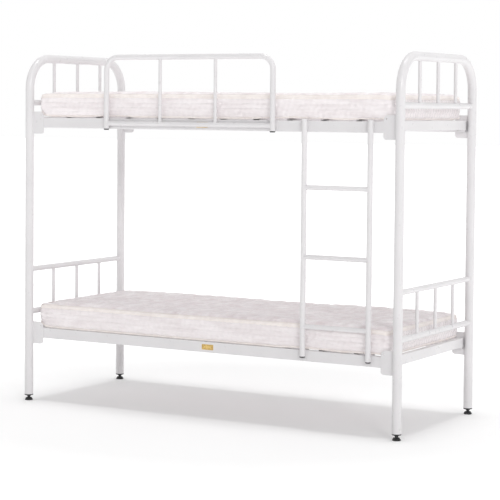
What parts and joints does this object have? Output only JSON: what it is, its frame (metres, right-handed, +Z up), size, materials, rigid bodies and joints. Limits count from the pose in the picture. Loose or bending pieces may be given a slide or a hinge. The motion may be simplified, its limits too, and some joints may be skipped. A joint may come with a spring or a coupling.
{
  "type": "bunk bed",
  "caption": "Steel tube bunk bed with two mattresses, a hook-on ladder, a hook-on guard rail and screw-in levelling feet.",
  "frame": {"origin": "on the floor, midway between the four posts", "axes": "+X along the bed towards the ladder end, +Y from the ladder side to the back, +Z up"},
  "size_m": [2.042, 0.8437, 1.706],
  "materials": {
    "white_enamel": "white powder coat, satin gloss, slight orange peel",
    "mattress_cover": "quilted off-white jacquard with a clear film over it, cream piping",
    "mattress_filling": "pressed felt and foam block, matt",
    "black_plastic": "moulded black plastic, fine grain",
    "blackened_steel": "black oxide, slightly worn",
    "zinc_plated_steel": "zinc plate",
    "brass_plate": "brushed brass with a pressed border"
  },
  "bodies": {
    "frame": {"deck_bolts": "zinc_plated_steel", "deck_washers": "zinc_plated_steel", "deck_weld_nuts": "white_enamel", "left_end_tube": "white_enamel", "left_lower_crossbar": "white_enamel", "left_lower_spindles": "white_enamel", "left_lower_top_bar": "white_enamel", "left_upper_crossbar": "white_enamel", "left_upper_spindles": "white_enamel", "lower_back_left_corner_plate": "white_enamel", "lower_back_rail": "white_enamel", "lower_back_right_corner_plate": "white_enamel", "lower_front_left_corner_plate": "white_enamel", "lower_front_rail": "white_enamel", "lower_front_right_corner_plate": "white_enamel", "lower_left_rail": "white_enamel", "lower_nameplate": "brass_plate", "lower_right_rail": "white_enamel", "lower_slats": "white_enamel", "post_plugs": "black_plastic", "right_end_tube": "white_enamel", "right_lower_crossbar": "white_enamel", "right_lower_spindles": "white_enamel", "right_lower_top_bar": "white_enamel", "right_upper_crossbar": "white_enamel", "right_upper_spindles": "white_enamel", "upper_back_left_corner_plate": "white_enamel", "upper_back_rail": "white_enamel", "upper_back_right_corner_plate": "white_enamel", "upper_front_left_corner_plate": "white_enamel", "upper_front_rail": "white_enamel", "upper_front_right_corner_plate": "white_enamel", "upper_left_rail": "white_enamel", "upper_nameplate": "brass_plate", "upper_right_rail": "white_enamel", "upper_slats": "white_enamel"},
    "ladder": {"ladder_end_caps": "black_plastic", "ladder_left_stile": "white_enamel", "ladder_lower_hooks": "white_enamel", "ladder_right_stile": "white_enamel", "ladder_rungs": "white_enamel", "ladder_upper_hooks": "white_enamel"},
    "guard_rail": {"guard_end_caps": "black_plastic", "guard_hooks": "white_enamel", "guard_hoop": "white_enamel", "guard_lower_bar": "white_enamel", "guard_spindles": "white_enamel"},
    "upper_mattress": {"upper_mattress_cover": "mattress_cover", "upper_mattress_core": "mattress_filling"},
    "lower_mattress": {"lower_mattress_cover": "mattress_cover", "lower_mattress_core": "mattress_filling"},
    "front_left_foot_pad": {"front_left_foot_pad": "black_plastic"},
    "front_left_foot_stud": {"front_left_foot_stud": "blackened_steel"},
    "front_right_foot_pad": {"front_right_foot_pad": "black_plastic"},
    "front_right_foot_stud": {"front_right_foot_stud": "blackened_steel"},
    "back_left_foot_pad": {"back_left_foot_pad": "black_plastic"},
    "back_left_foot_stud": {"back_left_foot_stud": "blackened_steel"},
    "back_right_foot_pad": {"back_right_foot_pad": "black_plastic"},
    "back_right_foot_stud": {"back_right_foot_stud": "blackened_steel"}
  },
  "joints": [
    {"name": "ladder_slide", "type": "slide", "parent": "frame", "child": "ladder", "axis": [1, 0, 0], "range_m": [-0.045, 0.04]},
    {"name": "guard_rail_slide", "type": "slide", "parent": "frame", "child": "guard_rail", "axis": [1, 0, 0], "range_m": [-0.045, 0.035]},
    {"name": "upper_mattress_lift", "type": "slide", "parent": "frame", "child": "upper_mattress", "axis": [0, 0, 1], "range_m": [0, 0.25]},
    {"name": "lower_mattress_lift", "type": "slide", "parent": "frame", "child": "lower_mattress", "axis": [0, 0, 1], "range_m": [0, 0.25]},
    {"name": "front_left_foot_travel", "type": "slide", "parent": "frame", "child": "front_left_foot_pad", "axis": [0, 0, -1], "range_m": [0, 0.018]},
    {"name": "front_left_foot_turn", "type": "hinge", "parent": "front_left_foot_pad", "child": "front_left_foot_stud", "pos_m": [-1, -0.4, 0.03], "axis": [0, 0, -1], "range_deg": [0, 4321]},
    {"name": "front_right_foot_travel", "type": "slide", "parent": "frame", "child": "front_right_foot_pad", "axis": [0, 0, -1], "range_m": [0, 0.018]},
    {"name": "front_right_foot_turn", "type": "hinge", "parent": "front_right_foot_pad", "child": "front_right_foot_stud", "pos_m": [1, -0.4, 0.03], "axis": [0, 0, -1], "range_deg": [0, 4321]},
    {"name": "back_left_foot_travel", "type": "slide", "parent": "frame", "child": "back_left_foot_pad", "axis": [0, 0, -1], "range_m": [0, 0.018]},
    {"name": "back_left_foot_turn", "type": "hinge", "parent": "back_left_foot_pad", "child": "back_left_foot_stud", "pos_m": [-1, 0.4, 0.03], "axis": [0, 0, -1], "range_deg": [0, 4321]},
    {"name": "back_right_foot_travel", "type": "slide", "parent": "frame", "child": "back_right_foot_pad", "axis": [0, 0, -1], "range_m": [0, 0.018]},
    {"name": "back_right_foot_turn", "type": "hinge", "parent": "back_right_foot_pad", "child": "back_right_foot_stud", "pos_m": [1, 0.4, 0.03], "axis": [0, 0, -1], "range_deg": [0, 4321]}
  ],
  "couplings": [
    {"joint": "front_left_foot_turn", "follows": "front_left_foot_travel", "rad_per_m": 4188.8},
    {"joint": "front_right_foot_turn", "follows": "front_right_foot_travel", "rad_per_m": 4188.8},
    {"joint": "back_left_foot_turn", "follows": "back_left_foot_travel", "rad_per_m": 4188.8},
    {"joint": "back_right_foot_turn", "follows": "back_right_foot_travel", "rad_per_m": 4188.8}
  ]
}
